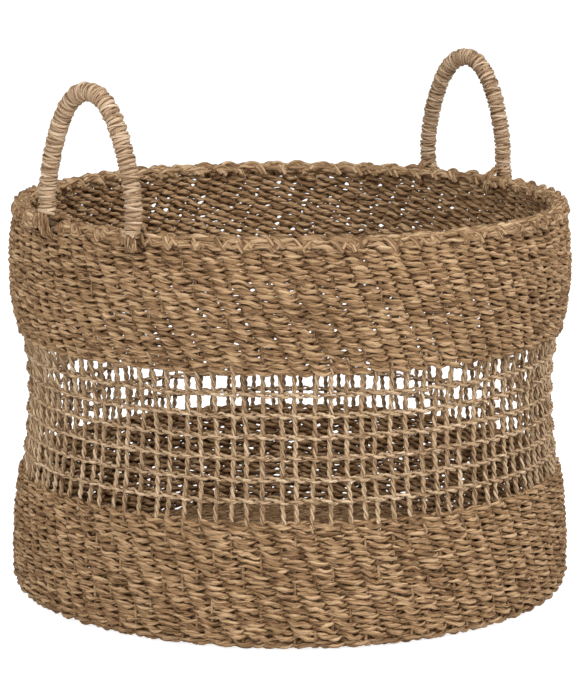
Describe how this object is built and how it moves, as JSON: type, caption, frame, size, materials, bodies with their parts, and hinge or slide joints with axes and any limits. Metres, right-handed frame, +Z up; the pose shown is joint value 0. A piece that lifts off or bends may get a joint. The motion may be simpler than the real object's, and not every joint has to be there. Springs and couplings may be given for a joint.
{
  "type": "storage basket",
  "caption": "Round woven seagrass basket with dense lower and upper bands, a drawn-in openwork waist, an open top and two wrapped rope carrying handles that fold.",
  "frame": {"origin": "centre of the underside, on the floor", "axes": "+Z up along the basket's axis, handles on +X and -X, +Y to the rear"},
  "size_m": [0.4128, 0.405, 0.3757],
  "materials": {
    "weft": "dry twisted seagrass cord, matte with a slight sheen along the fibres",
    "stake": "thin twisted seagrass cord, matte",
    "open_weft": "thin pale twisted cord, matte",
    "rim": "folded stake ends, matte",
    "anchor": "bare seagrass strands, matte",
    "wrap": "thin pale cord wound tightly, matte with a slight sheen",
    "core": "coarse seagrass rope, matte",
    "knot": "bound cord ends, matte"
  },
  "bodies": {
    "basket": {"base_weft_under": "weft", "base_spokes": "stake", "base_weft_top": "weft", "heel_ring": "weft", "stakes": "stake", "lower_weft_outer": "weft", "lower_weft_inner": "weft", "open_row_1": "open_weft", "open_row_2": "open_weft", "open_row_3": "open_weft", "open_row_4": "open_weft", "open_row_5": "open_weft", "open_row_6": "open_weft", "upper_weft_outer": "weft", "upper_weft_inner": "weft", "rim_cord": "rim", "rim_folds": "rim", "left_anchor_front": "anchor", "left_anchor_rear": "anchor", "right_anchor_front": "anchor", "right_anchor_rear": "anchor", "anchor_ties": "anchor"},
    "left_handle": {"left_handle_core": "core", "left_handle_wrap": "wrap", "left_handle_knots": "knot"},
    "right_handle": {"right_handle_core": "core", "right_handle_wrap": "wrap", "right_handle_knots": "knot"}
  },
  "joints": [
    {"name": "left_handle_tilt", "type": "hinge", "parent": "basket", "child": "left_handle", "pos_m": [-0.20023, 0, 0.289], "axis": [0, -1, 0], "range_deg": [-40, 120]},
    {"name": "right_handle_tilt", "type": "hinge", "parent": "basket", "child": "right_handle", "pos_m": [0.20023, 0, 0.289], "axis": [0, 1, 0], "range_deg": [-40, 120]}
  ]
}
